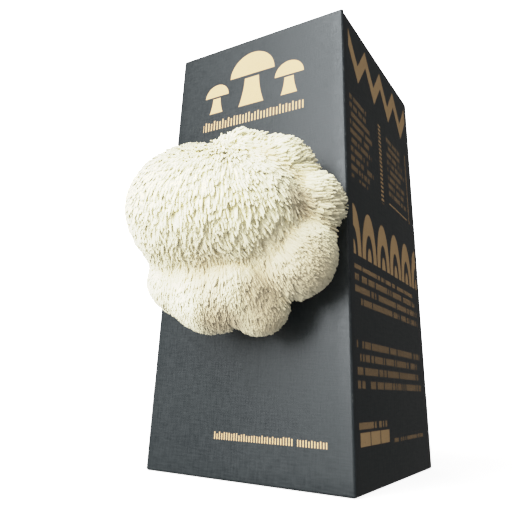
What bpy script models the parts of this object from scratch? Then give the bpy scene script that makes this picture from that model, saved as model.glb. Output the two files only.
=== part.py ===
"""Lion's mane mushroom grow kit: a tall tuck-top carton, the bagged block of sawdust
inside it, and the mushroom that has grown out through the round window in its front.

Metres, +Z up. The origin is the middle of the carton's base, and the front faces -Y.
"""

import math

import bmesh
import bpy
import numpy as np
from mathutils import Matrix, Vector

MM = 0.001
SEAM = 0.3 * MM  # gap between neighbouring pieces

# Carton, outside sizes
CARTON_WIDTH = 93 * MM
CARTON_DEPTH = 100 * MM
CARTON_HEIGHT = 200 * MM
BOARD = 1.2 * MM
CREASE_RADIUS = 1.0 * MM
CREASE_STEPS = 3
SMOOTH_BELOW = 40  # degrees: faces that meet at less are shaded as one round surface
LEAST_MITRE = 0.5  # limits how far a folded sheet spreads at a sharp turn
SIDE = CARTON_WIDTH / 2
FRONT = -CARTON_DEPTH / 2
BACK = CARTON_DEPTH / 2
FLOOR_TOP = 2 * BOARD  # the bottom is two layers of board
WALL_TOP = CARTON_HEIGHT - BOARD - SEAM  # the lid lies on the side and back walls

# Dust flaps, which fold in from the side walls under the lid
FLAP_REACH = 34 * MM
FLAP_FRONT = FRONT + 4 * MM
FLAP_BACK = BACK - BOARD - 0.6 * MM
FLAP_TAPER = 5 * MM

# Glue tab, inside the corner between the left and back walls
TAB_WIDTH = 14 * MM
TAB_TOP = WALL_TOP - 2 * BOARD

# Scored lines in the outside of the board
SCORE_WIDTH = 0.4 * MM
SCORE_DEPTH = 0.5 * MM
LOCK_OFFSET = 8 * MM  # how far the bottom lock's seam runs from the middle
LOCK_HALF_WIDTH = 22 * MM
LOCK_SLANT = 4 * MM
GLUE_EDGE_FROM_BACK = 1.6 * MM

# Window in the front wall, and the matching cut in the bag
WINDOW_HEIGHT = 92 * MM
WINDOW_RADIUS = 18 * MM
WINDOW_STEPS = 48
BAG_CUT_RADIUS = 17.5 * MM

# Lid, which turns on its crease over the back wall
LID_INSET = 0.5 * MM
LID_FRONT = FRONT + BOARD + SEAM
LID_BACK = BACK - SEAM
TONGUE_LENGTH = 16 * MM
TONGUE_SET_BACK = 2.0 * MM  # at its end, so that it clears the front wall as it lifts
TONGUE_CORNER = 9 * MM
TONGUE_CORNER_STEPS = 6
FOLD_STEPS = 4

# Block and bag
BLOCK_WIDTH = 85.6 * MM
BLOCK_DEPTH = 92.6 * MM
BLOCK_HEIGHT = 168 * MM
BLOCK_CORNER = 5.3 * MM
BLOCK_CORNER_STEPS = 4
FILM = 0.4 * MM
BAG_FOLD = (76 * MM, 30 * MM, 2.4 * MM)  # the bag's top, folded flat on the block
BAG_FOLD_STEPS = 2

# Mushroom. Each lobe is a ball: its middle and its radius out to the spine tips, in mm
LOBES = {
    "main dome": (-9.5, -76.5, 101.2, 26.3),
    "left of the dome": (-25.5, -71.8, 106.0, 18.8),
    "middle of the dome": (5.5, -79.0, 99.8, 22.0),
    "right of the dome": (18.5, -77.5, 97.5, 18.0),
    "crown": (9.5, -71.0, 120.8, 13.6),
    "shoulder": (25.3, -67.0, 117.8, 12.2),
    "right lobe": (35.0, -60.2, 102.5, 13.4),
    "lower right lobe": (30.8, -64.5, 80.8, 15.5),
    "middle lobe": (12.0, -73.5, 70.0, 11.0),
    "bottom lobe": (17.5, -67.0, 62.0, 10.0),
    "lower left lobe": (-2.5, -71.0, 67.6, 15.0),
    "left lower lobe": (-17.5, -72.5, 74.0, 12.8),
    "round the neck": (0.0, -60.0, 94.0, 25.0),
}
MUSHROOM_MIDDLE = (0.0, -70.0, 93.0)
LOBE_BLEND = 2.8  # how softly the lobes run together
MUSHROOM_BACK = -50.5  # the flat back, just off the carton's front
PILE = 3.6  # height of the spines over the flesh
DROOP = 0.7  # how strongly the spines hang down
SPINE_SPACING = 4.0
BACK_SPACING = 12.0  # on the flat back, which has no spines
TRIED_DIRECTIONS = 12000
SEED = 11
LEAST_FACING = 0.2  # limits how steeply a try may lie to the flesh
RELAX_STEPS = 30
RELAX_REACH = 0.6  # of two points' spacings together: any nearer, and they push apart
RELAX_SHARE = 0.25  # how much of its push each point follows at a step
CELL_AREA = 0.87  # of a point's own area, in squares of the spacing
TIP_MARGIN = 0.15  # keeps a tip this share of the way in from its cell's edges
SURELY_OUTSIDE = 70.0
INWARD_STEPS = 60
NECK_RADIUS = 16.5 * MM
NECK_STEPS = 40


def clear_scene():
    for old in list(bpy.data.objects):
        bpy.data.objects.remove(old, do_unlink=True)


def make_material(name, colour, roughness, metallic=0.0, alpha=1.0):
    material = bpy.data.materials.new(name)
    material.use_nodes = True
    shader = material.node_tree.nodes["Principled BSDF"]
    shader.inputs["Base Color"].default_value = (*colour, 1.0)
    shader.inputs["Roughness"].default_value = roughness
    shader.inputs["Metallic"].default_value = metallic
    shader.inputs["Alpha"].default_value = alpha
    return material


def object_from(bm, name, material=None, smooth_below=None):
    """Turn a bmesh into an object, shaded smooth where faces meet at under an angle."""
    bmesh.ops.recalc_face_normals(bm, faces=bm.faces)
    mesh = bpy.data.meshes.new(name)
    bm.to_mesh(mesh)
    bm.free()
    if smooth_below is not None:
        mesh.shade_smooth()
        mesh.set_sharp_from_angle(angle=math.radians(smooth_below))
    made = bpy.data.objects.new(name, mesh)
    bpy.context.collection.objects.link(made)
    if material:
        mesh.materials.append(material)
    return made


def combine(target, other, operation):
    """Join other to target or cut it out, and keep it as a hidden guide."""
    step = target.modifiers.new(other.name, "BOOLEAN")
    step.operation = operation
    step.object = other
    step.solver = "EXACT"
    other.hide_render = True
    other.display_type = "WIRE"


def box_mesh(low, high):
    """A closed box between two corners."""
    bm = bmesh.new()
    bmesh.ops.create_cube(bm, size=1.0)
    low, high = Vector(low), Vector(high)
    for vert in bm.verts:
        vert.co = Vector(
            low[axis] if vert.co[axis] < 0 else high[axis] for axis in range(3)
        )
    return bm


def rounded_box(low, high, radius, steps, rounds=lambda edge: True):
    """A box with the chosen edges rounded."""
    bm = box_mesh(low, high)
    chosen = [edge for edge in bm.edges if rounds(edge)]
    bmesh.ops.bevel(
        bm, geom=chosen, offset=radius, segments=steps, profile=0.5, affect="EDGES"
    )
    return bm


def prism_mesh(outline, low, high):
    """A flat outline in X and Y, raised from one height to another."""
    bm = bmesh.new()
    base = bm.faces.new([bm.verts.new((x, y, low)) for x, y in outline])
    raised = bmesh.ops.extrude_face_region(bm, geom=[base])["geom"]
    lifted = [part for part in raised if isinstance(part, bmesh.types.BMVert)]
    bmesh.ops.translate(bm, verts=lifted, vec=(0, 0, high - low))
    return bm


def cylinder_mesh(radius, steps, front, back, height):
    """A round bar along Y, at a height above the base."""
    bm = bmesh.new()
    turn = Matrix.Rotation(math.radians(90), 4, "X")
    place = Matrix.Translation((0, (front + back) / 2, height)) @ turn
    bmesh.ops.create_cone(
        bm,
        cap_ends=True,
        segments=steps,
        radius1=radius,
        radius2=radius,
        depth=back - front,
        matrix=place,
    )
    return bm


def folded_sheet(path, half_widths, thickness):
    """A folded sheet: its middle line in Y and Z, and how far it reaches in X at each point."""
    bm = bmesh.new()
    rings = []
    for index, point in enumerate(path):
        before = path[max(index - 1, 0)]
        after = path[min(index + 1, len(path) - 1)]
        along = (after - before).normalized()
        across = Vector((-along.y, along.x))
        into = (point - before).normalized() if index else along
        spread = thickness / 2 / max(abs(Vector((-into.y, into.x)).dot(across)), LEAST_MITRE)
        ring = []
        for side, face in ((-1, -1), (1, -1), (1, 1), (-1, 1)):
            place = point + across * spread * face
            ring.append(bm.verts.new((side * half_widths[index], place.x, place.y)))
        rings.append(ring)
    for ring, following in zip(rings, rings[1:]):
        for corner in range(4):
            after = (corner + 1) % 4
            bm.faces.new(
                (ring[corner], ring[after], following[after], following[corner])
            )
    bm.faces.new(rings[0])
    bm.faces.new(rings[-1][::-1])
    return bm


def make_carton(board):
    """Four walls, the locked bottom, the dust flaps and the glue tab: one folded sheet."""

    def folds(edge):
        middle = (edge.verts[0].co + edge.verts[1].co) / 2
        return middle.z < CARTON_HEIGHT - MM

    outside = rounded_box(
        (-SIDE, FRONT, 0),
        (SIDE, BACK, CARTON_HEIGHT),
        CREASE_RADIUS,
        CREASE_STEPS,
        folds,
    )
    carton = object_from(outside, "carton", board, smooth_below=SMOOTH_BELOW)
    above = CARTON_HEIGHT + 10 * MM
    inner_side = SIDE - BOARD
    inside = box_mesh(
        (-inner_side, FRONT + BOARD, FLOOR_TOP), (inner_side, BACK - BOARD, above)
    )
    combine(carton, object_from(inside, "carton_inside"), "DIFFERENCE")
    over_walls = box_mesh(
        (-SIDE - MM, FRONT + BOARD, WALL_TOP), (SIDE + MM, BACK + MM, above)
    )
    combine(carton, object_from(over_walls, "carton_over_walls"), "DIFFERENCE")
    for name, side in (("left", -1), ("right", 1)):
        combine(carton, make_dust_flap(f"dust_flap_{name}", side), "UNION")
    tab = box_mesh(
        (-inner_side - BOARD / 2, BACK - BOARD - TAB_WIDTH, FLOOR_TOP - BOARD / 2),
        (-inner_side + BOARD, BACK - BOARD / 2, TAB_TOP),
    )
    combine(carton, object_from(tab, "glue_tab"), "UNION")
    window = cylinder_mesh(
        WINDOW_RADIUS, WINDOW_STEPS, FRONT - 5 * MM, FRONT + 5 * MM, WINDOW_HEIGHT
    )
    combine(carton, object_from(window, "carton_window"), "DIFFERENCE")
    combine(carton, make_lock_seam(), "DIFFERENCE")
    glue_edge = box_mesh(
        (-SIDE - MM, BACK - GLUE_EDGE_FROM_BACK, 2 * MM),
        (-SIDE + SCORE_DEPTH, BACK - GLUE_EDGE_FROM_BACK + SCORE_WIDTH, above),
    )
    combine(carton, object_from(glue_edge, "glue_edge"), "DIFFERENCE")
    return carton


def make_dust_flap(name, side):
    """A tapered flap that reaches in from the top of one side wall."""
    outer = SIDE - BOARD / 2
    inner = SIDE - FLAP_REACH
    outline = [
        (side * outer, FLAP_FRONT),
        (side * inner, FLAP_FRONT + FLAP_TAPER),
        (side * inner, FLAP_BACK - FLAP_TAPER),
        (side * outer, FLAP_BACK),
    ]
    flap = prism_mesh(outline, WALL_TOP - BOARD, WALL_TOP)
    return object_from(flap, name)


def make_lock_seam():
    """The seam of the locking flaps across the bottom, with its tongue in the middle."""
    end = SIDE + MM
    line = [
        (-end, -LOCK_OFFSET),
        (-LOCK_HALF_WIDTH - LOCK_SLANT, -LOCK_OFFSET),
        (-LOCK_HALF_WIDTH, LOCK_OFFSET),
        (LOCK_HALF_WIDTH, LOCK_OFFSET),
        (LOCK_HALF_WIDTH + LOCK_SLANT, -LOCK_OFFSET),
        (end, -LOCK_OFFSET),
    ]
    far_side = [(x, y + SCORE_WIDTH) for x, y in reversed(line)]
    seam = prism_mesh(line + far_side, -MM, SCORE_DEPTH)
    return object_from(seam, "lock_seam")


def make_lid(board, hinge):
    """The lid panel and its tuck tongue, placed from the hinge at the back crease."""
    middle_height = CARTON_HEIGHT - BOARD / 2
    fold = CREASE_RADIUS
    turn = math.atan2(TONGUE_LENGTH, TONGUE_SET_BACK)
    panel_front = Vector((LID_FRONT + BOARD / 2 + fold, middle_height))
    wide = SIDE - LID_INSET
    narrow = SIDE - BOARD - 2 * LID_INSET
    path = [Vector((LID_BACK, middle_height)), panel_front]
    half_widths = [wide, wide]
    fold_centre = panel_front - Vector((0, fold))
    for step in range(1, FOLD_STEPS + 1):
        angle = turn * step / FOLD_STEPS
        round_fold = Vector((-math.sin(angle), math.cos(angle)))
        path.append(fold_centre + fold * round_fold)
        half_widths.append(narrow)
    down = Vector((math.cos(turn), -math.sin(turn)))
    corner_start = path[-1] + down * (TONGUE_LENGTH - TONGUE_CORNER - fold)
    path.append(corner_start)
    half_widths.append(narrow)
    for step in range(1, TONGUE_CORNER_STEPS + 1):
        angle = math.radians(90) * step / TONGUE_CORNER_STEPS
        path.append(corner_start + down * TONGUE_CORNER * math.sin(angle))
        half_widths.append(narrow - TONGUE_CORNER * (1 - math.cos(angle)))
    sheet = folded_sheet(path, half_widths, BOARD)
    lid = object_from(sheet, "carton_lid", board, smooth_below=SMOOTH_BELOW)
    lid.data.transform(Matrix.Translation(-hinge.location))
    lid.parent = hinge
    return lid


def make_hinge():
    """An empty on the lid's crease. The lid opens by turning about -X."""
    hinge = bpy.data.objects.new("lid_crease", None)
    hinge.location = (0, BACK, CARTON_HEIGHT - BOARD)
    hinge.empty_display_size = 10 * MM
    bpy.context.collection.objects.link(hinge)
    return hinge


def make_block(material):
    """The sawdust block, standing in its bag on the carton's bottom."""
    base = FLOOR_TOP + SEAM + FILM + SEAM
    half_width, half_depth = BLOCK_WIDTH / 2, BLOCK_DEPTH / 2
    body = rounded_box(
        (-half_width, -half_depth, 0),
        (half_width, half_depth, BLOCK_HEIGHT),
        BLOCK_CORNER,
        BLOCK_CORNER_STEPS,
    )
    block = object_from(body, "substrate_block", material, smooth_below=SMOOTH_BELOW)
    block.location.z = base
    return block


def make_bag(film):
    """The film round the block, cut behind the window, its top folded down flat."""
    base = FLOOR_TOP + SEAM
    half_width = BLOCK_WIDTH / 2 + SEAM
    half_depth = BLOCK_DEPTH / 2 + SEAM
    height = BLOCK_HEIGHT + 2 * (SEAM + FILM)
    corner = BLOCK_CORNER + SEAM
    outside = rounded_box(
        (-half_width - FILM, -half_depth - FILM, 0),
        (half_width + FILM, half_depth + FILM, height),
        corner + FILM,
        BLOCK_CORNER_STEPS,
    )
    bag = object_from(outside, "grow_bag", film, smooth_below=SMOOTH_BELOW)
    bag.location.z = base
    inside = rounded_box(
        (-half_width, -half_depth, FILM),
        (half_width, half_depth, height - FILM),
        corner,
        BLOCK_CORNER_STEPS,
    )
    inside = object_from(inside, "bag_inside")
    inside.location.z = base
    combine(bag, inside, "DIFFERENCE")
    cut = cylinder_mesh(
        BAG_CUT_RADIUS, WINDOW_STEPS, FRONT, -half_depth + 2 * MM, WINDOW_HEIGHT
    )
    combine(bag, object_from(cut, "bag_cut"), "DIFFERENCE")
    width, depth, thickness = BAG_FOLD
    top = base + height
    fold = rounded_box(
        (-width / 2, -depth / 2, top - FILM / 2),
        (width / 2, depth / 2, top + thickness),
        thickness / 3,
        BAG_FOLD_STEPS,
    )
    combine(bag, object_from(fold, "bag_fold"), "UNION")
    return bag


def lobe_depth(points):
    """How far each point lies outside the blended lobes, in mm. Inside is negative."""
    balls = np.array(list(LOBES.values()))
    away = np.linalg.norm(points[None] - balls[:, None, :3], axis=2) - balls[:, 3:]
    nearest = away.min(axis=0)
    crowd = np.exp(-(away - nearest) / LOBE_BLEND).sum(axis=0)
    return nearest - LOBE_BLEND * np.log(crowd)


def reach(directions, inset):
    """How far the mushroom reaches from its middle in each direction, less an inset."""
    middle = np.array(MUSHROOM_MIDDLE)
    distance = np.full(len(directions), SURELY_OUTSIDE)
    for _ in range(INWARD_STEPS):
        points = middle + directions * distance[:, None]
        outside = lobe_depth(points) + inset
        distance -= np.maximum(outside, 0)
    to_back = (MUSHROOM_BACK - middle[1]) / np.maximum(directions[:, 1], 1e-6)
    return np.minimum(distance, to_back)


def spiral_directions(count):
    """Directions spread evenly over a ball, along a spiral."""
    rank = np.arange(count) + 0.5
    height = 1 - 2 * rank / count
    angle = rank * math.pi * (3 - math.sqrt(5))
    level = np.sqrt(1 - height**2)
    return np.stack([level * np.cos(angle), level * np.sin(angle), height], axis=1)


def outward_slope(points):
    """The direction out of the lobes at each point."""
    step = 0.5
    slopes = [
        lobe_depth(points + step * axis) - lobe_depth(points - step * axis)
        for axis in np.eye(3)
    ]
    outward = np.stack(slopes, axis=1)
    return outward / np.linalg.norm(outward, axis=1, keepdims=True)


def wanted_spacing(points):
    """How far apart the spines stand, in mm. The flat back has none, so it needs few points."""
    on_back = points[:, 1] + MUSHROOM_MIDDLE[1] > MUSHROOM_BACK - 0.01
    return np.where(on_back, BACK_SPACING, SPINE_SPACING)


def even_directions():
    """Directions whose points are spread evenly over the flesh, at random but well apart."""
    chance = np.random.default_rng(SEED)
    tries = spiral_directions(TRIED_DIRECTIONS)
    distance = reach(tries, PILE)
    points = tries * distance[:, None]
    outward = outward_slope(points + MUSHROOM_MIDDLE)
    on_back = wanted_spacing(points) > SPINE_SPACING
    outward[on_back] = (0, 1, 0)
    facing = np.maximum((outward * tries).sum(axis=1), LEAST_FACING)
    area = distance**2 / facing * 4 * math.pi / len(tries)
    share = area / (CELL_AREA * wanted_spacing(points) ** 2)
    chosen = chance.random(len(tries)) < share
    directions = tries[chosen]
    for _ in range(RELAX_STEPS):
        points = directions * reach(directions, PILE)[:, None]
        spacing = wanted_spacing(points)
        room = (spacing[:, None] + spacing[None]) * RELAX_REACH
        gap = points[:, None] - points[None]
        apart = np.linalg.norm(gap, axis=2) + 1e-6
        push = np.maximum(room - apart, 0) / apart
        np.fill_diagonal(push, 0)
        points = points + RELAX_SHARE * (gap * push[:, :, None]).sum(axis=1)
        directions = points / np.linalg.norm(points, axis=1, keepdims=True)
    return directions


def lean_tips(roots, corners):
    """Where each spine's tip goes: out from the flesh and hanging down, over its own cell."""
    middle = np.array(MUSHROOM_MIDDLE)
    lean = outward_slope(roots) + np.array([0, 0, -DROOP])
    lean /= np.linalg.norm(lean, axis=1, keepdims=True)
    aim = roots + lean * PILE - middle
    shares = np.linalg.solve(corners.transpose(0, 2, 1), aim[:, :, None])[:, :, 0]
    shares /= shares.sum(axis=1, keepdims=True)
    shares = np.maximum(shares, TIP_MARGIN)
    over = (corners * shares[:, :, None]).sum(axis=1)
    return over / np.linalg.norm(over, axis=1, keepdims=True)


def make_mushroom(flesh):
    """One closed body of blended lobes, with a spine raised on each of its cells."""
    middle = np.array(MUSHROOM_MIDDLE)
    directions = even_directions()
    places = directions * reach(directions, PILE)[:, None]
    bm = bmesh.new()
    for direction in directions:
        bm.verts.new(direction)
    bmesh.ops.convex_hull(bm, input=bm.verts)
    bm.verts.index_update()
    flat = wanted_spacing(places) > SPINE_SPACING
    spiny = [face for face in bm.faces if not all(flat[v.index] for v in face.verts)]
    corners = directions[[[vert.index for vert in face.verts] for face in spiny]]
    centres = corners.mean(axis=1)
    centres /= np.linalg.norm(centres, axis=1, keepdims=True)
    roots = middle + centres * reach(centres, PILE)[:, None]
    tips = lean_tips(roots, corners)
    tips = tips * reach(tips, 0)[:, None]
    poked = bmesh.ops.poke(bm, faces=spiny)["verts"]
    bm.verts.ensure_lookup_table()
    for index, place in enumerate(places):
        bm.verts[index].co = place * MM
    for vert, place in zip(poked, tips):
        vert.co = place * MM
    mushroom = object_from(bm, "lions_mane", flesh)
    mushroom.location = middle * MM
    neck_end = -BLOCK_DEPTH / 2 - SEAM
    neck = cylinder_mesh(
        NECK_RADIUS, NECK_STEPS, FRONT - 4 * MM, neck_end, WINDOW_HEIGHT
    )
    combine(mushroom, object_from(neck, "mushroom_neck"), "UNION")
    return mushroom


def main():
    clear_scene()
    board = make_material("charcoal_board", (0.09, 0.1, 0.105), 0.5)
    film = make_material("clear_film", (0.85, 0.87, 0.86), 0.15, alpha=0.3)
    sawdust = make_material("colonised_sawdust", (0.74, 0.66, 0.52), 0.9)
    flesh = make_material("cream_flesh", (0.87, 0.83, 0.72), 0.7)
    make_carton(board)
    make_lid(board, make_hinge())
    make_block(sawdust)
    make_bag(film)
    make_mushroom(flesh)


main()
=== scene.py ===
"""Looks of the lion's mane mushroom grow kit: a charcoal carton with tan print, and the
cream mushroom that hangs out of the window in its front.

The shapes are worked out in millimetres and turned into metres as each mesh is made.
"""

import math
from functools import reduce

import bmesh
import bpy
import numpy as np
from mathutils import Matrix, Vector, kdtree, noise


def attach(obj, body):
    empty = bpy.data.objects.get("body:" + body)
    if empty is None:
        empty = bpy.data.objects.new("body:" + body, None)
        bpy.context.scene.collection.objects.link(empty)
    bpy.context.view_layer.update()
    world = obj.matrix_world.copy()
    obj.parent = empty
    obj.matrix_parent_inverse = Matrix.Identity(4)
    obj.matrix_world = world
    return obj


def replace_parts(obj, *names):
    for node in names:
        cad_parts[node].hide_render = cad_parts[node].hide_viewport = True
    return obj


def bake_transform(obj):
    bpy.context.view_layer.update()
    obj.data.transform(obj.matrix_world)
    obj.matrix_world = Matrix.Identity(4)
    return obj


MM = 0.001

# Carton, the same sizes as the frame's, in mm
CARTON_WIDTH = 93.0
CARTON_DEPTH = 100.0
CARTON_HEIGHT = 200.0
BOARD = 1.2
SEAM = 0.3
CREASE_RADIUS = 1.0
CREASE_STEPS = 6
SIDE = CARTON_WIDTH / 2
FRONT = -CARTON_DEPTH / 2
BACK = CARTON_DEPTH / 2
FLOOR_TOP = 2 * BOARD
WALL_TOP = CARTON_HEIGHT - BOARD - SEAM
FLAP_REACH = 34.0
FLAP_FRONT = FRONT + 4
FLAP_BACK = BACK - BOARD - 0.6
FLAP_TAPER = 5.0
TAB_WIDTH = 14.0
TAB_TOP = WALL_TOP - 2 * BOARD
SCORE_WIDTH = 0.4
SCORE_DEPTH = 0.5
LOCK_OFFSET = 8.0
LOCK_HALF_WIDTH = 22.0
LOCK_SLANT = 4.0
GLUE_EDGE_FROM_BACK = 1.6
WINDOW_HEIGHT = 92.0
WINDOW_RADIUS = 18.0
BOW = 0.3  # how far the middle of a wall stands out
GRID = 6.0  # spacing of the points that let a wall bow
DENT = 0.05
SIDE_WALLS_FROM = SIDE - 4.5  # beyond this the walls bow, and between them nothing does
END_WALLS_FROM = BACK - 4.0
BOW_BLEND = 2.0
WINDOW_STEPS = 72
CLEAR = 1.0  # how far a cutting shape stands past the board
OUTER, INNER, RAW = 0, 1, 2  # the board's printed side, its plain side and its cut edges

# Lid
LID_INSET = 0.5
LID_FRONT = FRONT + BOARD + SEAM
LID_BACK = BACK - SEAM
TONGUE_LENGTH = 16.0
TONGUE_SET_BACK = 2.0
TONGUE_CORNER = 9.0
LID_BOW = 0.25
FOLD_REACH = 2.6  # how far the bending strip reaches along the back wall and the lid
FOLD_STEPS = 8
PANEL_STEPS = 16
CORNER_STEPS = 12

# Block and bag
BLOCK_WIDTH = 85.6
BLOCK_DEPTH = 92.6
BLOCK_HEIGHT = 168.0
BLOCK_CORNER = 5.3
FILM = 0.4
BAG_FOLD = (76.0, 30.0, 2.4)  # width, depth and thickness
CORNER_ROUNDS = 5
CRUMB = 0.35
CRUMB_GRID = 3.0
FILM_GRID = 2.6
FILM_CREASE = 0.55
SHOWN_FILM = 0.12  # thinner than the frame's film, as real film is
FOLD_LAYERS = 4
RIPPLE_STEPS = 12
RIPPLE = 0.12

# Mushroom. Each lobe is a ball: its middle, its radius out to the spine tips, the place
# that its spines are combed away from, how strongly, and from 0 to 1 how fine they are
LOBES = {
    "main dome": (-9.5, -76.5, 101.2, 26.3, -6.0, -66.0, 138.0, 1.4, 0.35),
    "left of the dome": (-25.5, -71.8, 106.0, 18.8, -12.0, -66.0, 136.0, 1.2, 0.6),
    "middle of the dome": (5.5, -79.0, 99.8, 22.0, 0.0, -68.0, 136.0, 1.5, 0.0),
    "right of the dome": (18.5, -77.5, 97.5, 18.0, 8.0, -86.0, 122.0, 1.4, 0.0),
    "crown": (9.5, -71.0, 120.8, 13.6, 8.0, -86.0, 108.0, 0.45, 0.1),
    "shoulder": (25.3, -67.0, 117.8, 12.2, 12.0, -84.0, 110.0, 1.1, 0.0),
    "right lobe": (35.0, -60.2, 102.5, 13.4, 22.0, -76.0, 102.0, 1.3, 0.0),
    "lower right lobe": (30.8, -64.5, 80.8, 15.5, 20.0, -80.0, 92.0, 1.2, 0.75),
    "middle lobe": (12.0, -73.5, 70.0, 11.0, 12.0, -84.0, 86.0, 1.2, 0.9),
    "bottom lobe": (17.5, -67.0, 62.0, 10.0, 14.0, -80.0, 78.0, 0.9, 0.9),
    "lower left lobe": (-2.5, -71.0, 67.6, 15.0, -6.0, -82.0, 88.0, 1.1, 0.8),
    "left lower lobe": (-17.5, -72.5, 74.0, 12.8, -12.0, -82.0, 90.0, 1.1, 0.8),
    "round the neck": (0.0, -60.0, 94.0, 25.0, 0.0, -95.0, 94.0, 0.7, 0.3),
}
MUSHROOM_MIDDLE = np.array((0.0, -70.0, 93.0))
LOBE_BLEND = 3.6
MUSHROOM_BACK = -50.5
PILE = 2.8  # height of the spines over the flesh
TRIED_DIRECTIONS = 170000
COARSE_SPACING = 0.8
FINE_SPACING = 0.43
COARSE_RADIUS = 0.55
FINE_RADIUS = 0.36
MAX_SPINES = 36000
SPINE_SIDES = 4
SPINE_RINGS = (0.0, 0.55, 0.93)
SPINE_WIDTHS = (0.9, 1.0, 0.74)
TUFT_SPACING = 4.2
TUFT_LEAN = 0.2
LONG_SHARE = 0.22  # of the spines, those that lie over the others
# How far a spine is shaded as the surface under it is: a coarse one, and a fine one
SOFTNESS = 0.5
FINE_SOFTNESS = 0.92
SHORTEST_SPINE = 2.2
LONGEST_SPINE = 8.0
TUFT_PULL = 0.14  # how far a tip is drawn towards the middle of its tuft
TIP_ALLOWANCE = 1.2  # how far a coarse tip is kept inside the lobes
VALLEY_REACH = 5.5  # how far round a point a crease is looked for
CLOSE_NEIGHBOURS = 5
FAR_OUT = 62.0  # outside the mushroom in every direction
NECK_RADIUS = 16.5
# Painted shade, a darker tan, on the lower lobes and in creases: middle, size, strength
PAINTED_SHADE_PLACES = (
    ((24.4, -78.7, 65.5), 14.0, 0.9),
    ((39.3, -76.4, 97.8), 10.0, 0.75),
    ((8.0, -79.0, 55.0), 14.0, 0.95),
    ((25.0, -74.0, 55.0), 13.0, 0.8),
    ((41.0, -77.0, 74.0), 22.0, 0.75),
    ((46.0, -68.0, 98.0), 13.0, 0.45),
    ((8.0, -86.0, 70.0), 15.0, 0.6),
)
DOWN = np.array((0.0, 0.0, -1.0))

# Print on the front: a row of plain mushrooms, each with its middle and size, and two
# fringes of strokes, each with its left, right, low and high ends and its pitch
PRINTED_BASE = 162.5
PRINTED_MUSHROOMS = ((-2.0, 13.0), (-22.6, 7.2), (18.9, 7.9))
FRINGES = ((-29.8, 26.6, 153.0, 158.4, 1.7), (-12.6, 36.4, 14.2, 17.0, 1.15))
# Print on the right side: rows of small bars, with their ends, their pitch and how
# strong they are, and plain lines and boxes
SMALL_PRINT = (
    (-45, -16, 118, 160, 4.3, 0.75),
    (5, 36, 124, 160, 4.3, 0.75),
    (-45, 41, 76.5, 81, 4.6, 1.3),
    (-45, 44, 64, 76.5, 4.6, 0.9),
    (-45, 44, 34, 53, 4.8, 0.8),
    (-45, -8, 20.6, 24.6, 4.0, 1.3),
    (-6, 44, 14.6, 17.4, 2.8, 0.8),
)
ZIGZAG_PITCH = 22.0
ARCH_PITCH = 18.0
ARCH_BASE = 85.0
STROKE_PITCH = 0.95
LETTER_PITCH = 1.5

# The place and lens of the camera that took the photograph
CAMERA_PLACE = (0.12091, -0.23866, 0.03374)
CAMERA_TURN_DEG = (110.553, -1.863, 30.872)
CAMERA_LENS = 37.09
CAMERA_SHIFT = (-0.0079, -0.129)

# Lights: where each shines from, and its settings
AIM = Vector((0.0, -0.02, 0.1))  # the middle of the object, in metres
SUNNY = (1.0, 0.985, 0.95)
PANEL = {"shape": "RECTANGLE", "size": 0.4, "size_y": 1.4, "energy": 24.5}
PANEL["color"] = (0.94, 1.0, 1.03)
KEY = {"angle": math.radians(80), "energy": 5.2, "color": SUNNY}
TOP = {"angle": math.radians(110), "energy": 0.4}
LOW_FRONT = {"angle": math.radians(130), "energy": 0.8, "color": SUNNY}
LIGHTS = (
    ("panel", "AREA", (-0.26, -1.25, 0.54), PANEL),
    ("key", "SUN", (-0.45, -0.95, 0.52), KEY),
    ("top", "SUN", (-0.2, -0.1, 1.0), TOP),
    ("bounce", "SUN", (-0.45, -0.9, -0.4), LOW_FRONT),
)
ROOM_LIGHT = (1.0, 0.985, 0.96, 1.0)
BRIGHT_SIDE = Vector((-0.6, -0.75, 0.35)).normalized()
REFLECTED_ROOM = 0.1
FLOOR_GLOW = 3.0

# Bright light is pressed together, as a camera does it: what is lit, and how it shows
BRIGHTEST = 4.0
SHOULDER = ((0.3, 0.3), (0.6, 0.52), (0.9, 0.665), (1.3, 0.77), (1.9, 0.85), (2.8, 0.9))


def sums(operation, reflected=False):
    """An operator on a tone that adds a Math node. Reflected is for 1 - tone."""

    def add_node(*terms):
        return terms[0].nodes.math(operation, *(reversed(terms) if reflected else terms))

    return add_node


class Tone:
    """A number that changes over a surface. A sum on it adds a Math node."""

    def __init__(self, nodes, socket):
        self.nodes = nodes
        self.socket = socket

    __add__ = __radd__ = sums("ADD")
    __sub__, __rsub__ = sums("SUBTRACT"), sums("SUBTRACT", reflected=True)
    __mul__ = __rmul__ = sums("MULTIPLY")
    __truediv__, __rtruediv__ = sums("DIVIDE"), sums("DIVIDE", reflected=True)
    __pow__, __rpow__ = sums("POWER"), sums("POWER", reflected=True)
    __abs__ = sums("ABSOLUTE")
    floor = sums("FLOOR")
    fraction = sums("FRACT")
    least = sums("MINIMUM")
    most = sums("MAXIMUM")

    def repeat(self, pitch):
        """Where this lies within each step of a pattern, from 0 to 1."""
        return (self / pitch).fraction()

    def rise(self, low, high):
        """0 below low, 1 above high, and smooth between them."""
        settings = {"interpolation_type": "SMOOTHSTEP", "clamp": True}
        inputs = {"Value": self, "From Min": low, "From Max": high}
        return self.nodes.tone("ShaderNodeMapRange", settings, inputs)

    def within(self, low, high, soft=0.12):
        """1 between low and high."""
        middle = (low + high) / 2
        half = (high - low) / 2
        return 1 - abs(self - middle).rise(half - soft, half + soft)

    def chance(self, other):
        """A number from 0 to 1 that is the same all over each step of a pattern."""
        pair = self.nodes.tone("ShaderNodeCombineXYZ", (), {0: self, 1: other})
        settings = {"noise_dimensions": "2D"}
        return self.nodes.tone("ShaderNodeTexWhiteNoise", settings, {"Vector": pair})


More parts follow.
